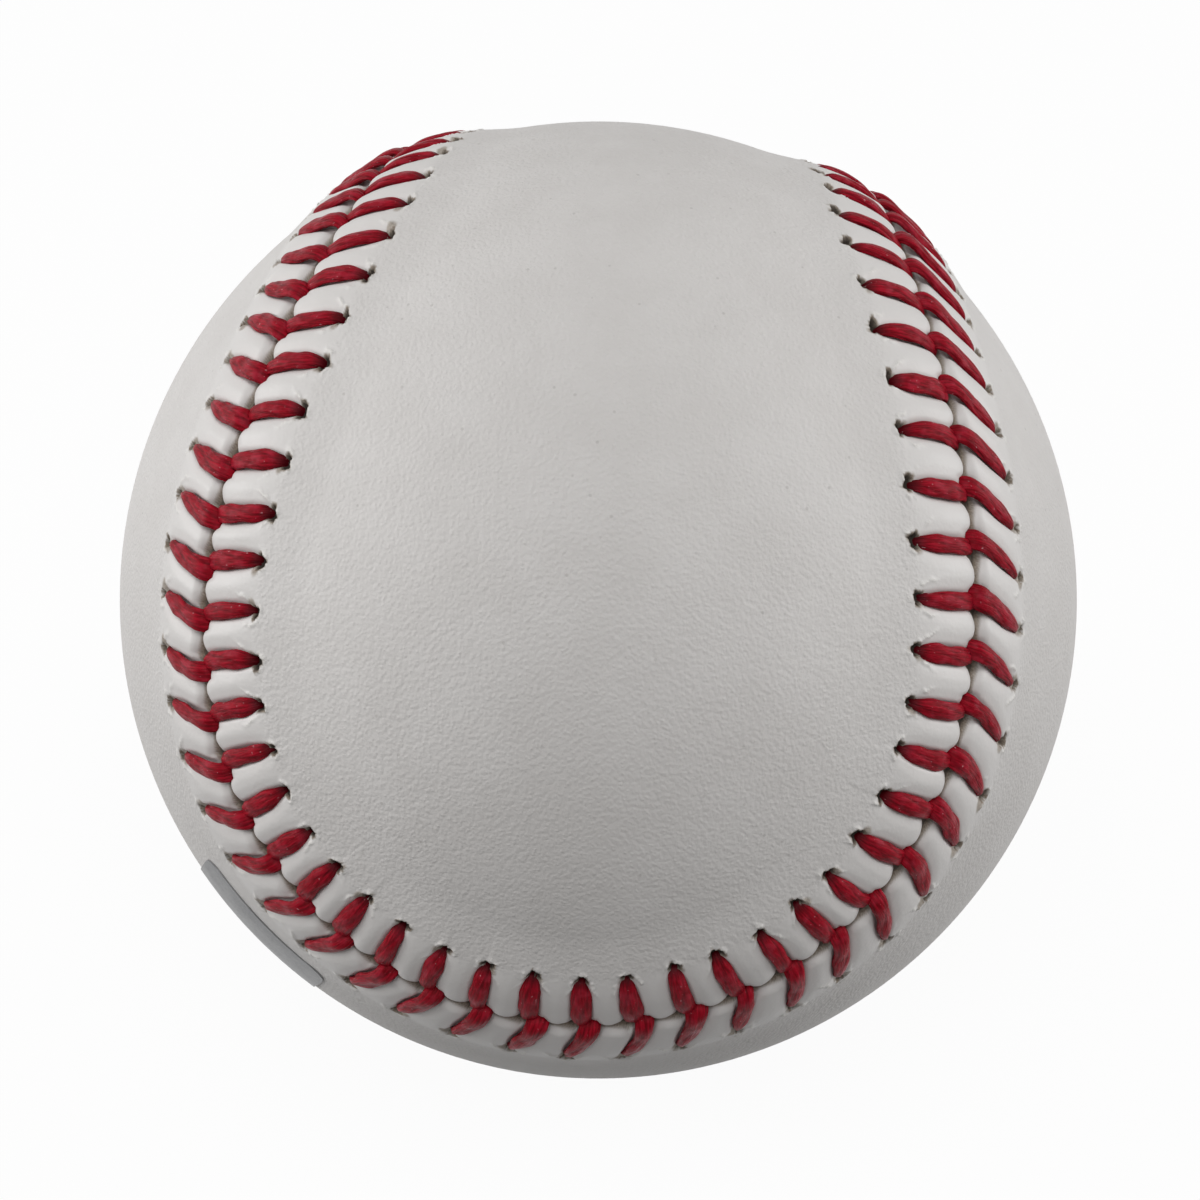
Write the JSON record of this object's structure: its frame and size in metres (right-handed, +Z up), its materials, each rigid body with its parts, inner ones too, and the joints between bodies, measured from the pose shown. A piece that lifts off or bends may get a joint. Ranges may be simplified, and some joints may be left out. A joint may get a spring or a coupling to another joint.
{
  "type": "baseball",
  "caption": "Hard ball with a cork and rubber pill, yarn windings and two figure-eight leather panels sewn with raised red stitches",
  "frame": {"origin": "centre of the ball", "axes": "+Z up as the ball lies in the picture, -Y towards the viewer, so that the lobe of one panel faces up and towards -Y; resting point straight below on the plain leather"},
  "size_m": [0.074, 0.0752, 0.074],
  "materials": {
    "cork": "pressed cork and rubber granules",
    "black_rubber": "smooth moulded",
    "red_rubber": "smooth moulded",
    "grey_wool": "wound wool yarn",
    "white_wool": "wound wool yarn",
    "finish_yarn": "wound fine cotton yarn with a coat of cement",
    "cover_leather": "white alum-tanned, fine grain, half matt",
    "red_thread": "waxed cotton",
    "silver_foil": "plain satin foil"
  },
  "bodies": {
    "root": {"cork_core": "cork", "black_rubber_half_top": "black_rubber", "black_rubber_half_bottom": "black_rubber", "rubber_gasket": "red_rubber", "red_rubber_half_left": "red_rubber", "red_rubber_half_right": "red_rubber", "inner_grey_winding": "grey_wool", "white_winding": "white_wool", "outer_grey_winding": "grey_wool", "finish_winding": "finish_yarn", "front_cover_panel": "cover_leather", "back_cover_panel": "cover_leather", "first_thread": "red_thread", "second_thread": "red_thread", "foil_label": "silver_foil"}
  },
  "joints": []
}
